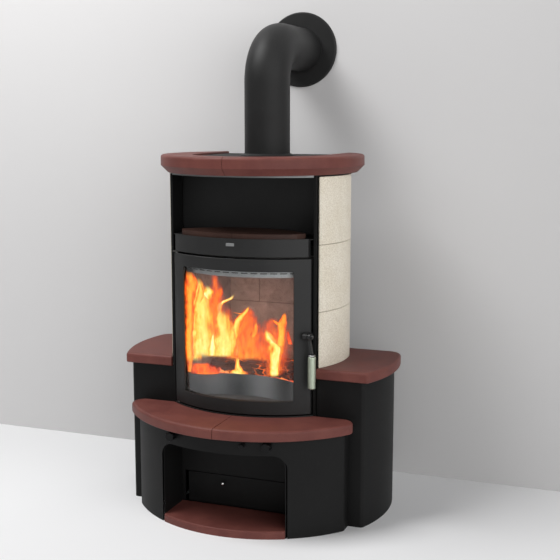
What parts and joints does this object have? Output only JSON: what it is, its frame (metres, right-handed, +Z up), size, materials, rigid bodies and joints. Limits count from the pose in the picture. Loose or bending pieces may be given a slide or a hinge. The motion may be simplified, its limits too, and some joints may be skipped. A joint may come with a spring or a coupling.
{
  "type": "wood stove",
  "caption": "Free-standing wood stove with a curved glass door, warming bay, ceramic top ring, tiled sides and a wrap-round bench over a log bay, its flue pipe turning back to the wall",
  "frame": {"origin": "on the floor, under the axis of the flue riser", "axes": "+X to the right seen from the front, +Y towards the wall, +Z up"},
  "size_m": [0.9178, 0.852, 1.645],
  "materials": {
    "cream_tile": "satin glaze with faint speckle",
    "red_tile": "satin dark red glaze",
    "black_steel": "matte black stove paint",
    "charcoal_steel": "satin charcoal stove paint",
    "flue_steel": "matte black flue paint",
    "plate_steel": "dull heat-stained steel plate",
    "bright_steel": "brushed",
    "dark_steel": "satin black",
    "grip": "satin",
    "knob": "matte heat-proof plastic",
    "window": "clear heat-proof glass",
    "rope": "braided sealing rope",
    "brick": "rough firebrick",
    "grate_iron": "rough cast"
  },
  "bodies": {
    "stove": {"left_side_tiles": "cream_tile", "right_side_tiles": "cream_tile", "left_bench_tile": "red_tile", "right_bench_tile": "red_tile", "front_bench_tile_left": "red_tile", "front_bench_tile_right": "red_tile", "top_ring_left": "red_tile", "top_ring_right": "red_tile", "shelf_tiles": "red_tile", "log_bay_floor_tile": "red_tile", "base_plate": "black_steel", "left_side_frame": "black_steel", "right_side_frame": "black_steel", "rear_casing": "black_steel", "base_front_panel": "black_steel", "plinth_front": "black_steel", "log_bay_liner": "black_steel", "left_cabinet": "black_steel", "right_cabinet": "black_steel", "top_deck": "black_steel", "top_cover": "black_steel", "compartment_back": "black_steel", "shelf_plate": "black_steel", "drawer_runners": "black_steel", "upper_fascia": "charcoal_steel", "door_sill": "charcoal_steel", "flue_pipe": "flue_steel", "flue_elbow": "flue_steel", "flue_wall_pipe": "flue_steel", "flue_collar": "flue_steel", "wall_rosette": "flue_steel", "firebox_shell": "plate_steel", "firebox_front_frame": "plate_steel", "flue_spigot": "plate_steel", "ash_chute": "plate_steel", "trim_strip": "bright_steel", "latch_striker": "bright_steel", "control_bushes": "bright_steel", "log_retainer": "bright_steel", "firebricks": "brick", "baffle_plate": "brick", "ash_grate": "grate_iron"},
    "door": {"door_frame": "charcoal_steel", "door_glass": "window", "glass_clips": "bright_steel", "door_gasket": "rope", "hinge_pins": "bright_steel", "handle_bracket": "charcoal_steel"},
    "handle": {"latch_shaft": "bright_steel", "latch_cam": "bright_steel", "handle_arm": "dark_steel", "handle_grip": "grip"},
    "left_air": {"left_air_valve": "bright_steel", "left_air_knob": "knob"},
    "right_air": {"right_air_valve": "bright_steel", "right_air_knob": "knob"},
    "start_air": {"start_air_plunger": "bright_steel", "start_air_knob": "knob"},
    "drawer": {"ash_drawer": "black_steel", "ash_drawer_knob": "bright_steel"}
  },
  "joints": [
    {"name": "door_swing", "type": "hinge", "parent": "stove", "child": "door", "pos_m": [-0.226, -0.224, 0.6], "axis": [0, 0, -1], "range_deg": [0, 100]},
    {"name": "handle_lift", "type": "hinge", "parent": "door", "child": "handle", "pos_m": [0.23, -0.25553, 0.609], "axis": [-1, 0, 0], "range_deg": [0, 60]},
    {"name": "left_air_turn", "type": "hinge", "parent": "stove", "child": "left_air", "pos_m": [-0.16, -0.33, 0.298], "axis": [0, -1, 0], "range_deg": [0, 90]},
    {"name": "right_air_turn", "type": "hinge", "parent": "stove", "child": "right_air", "pos_m": [0.16, -0.33, 0.298], "axis": [0, -1, 0], "range_deg": [0, 90]},
    {"name": "start_air_pull", "type": "slide", "parent": "stove", "child": "start_air", "axis": [0, -1, 0], "range_m": [0, 0.03]},
    {"name": "ash_drawer_slide", "type": "slide", "parent": "stove", "child": "drawer", "axis": [0, -1, 0], "range_m": [0, 0.2]}
  ]
}
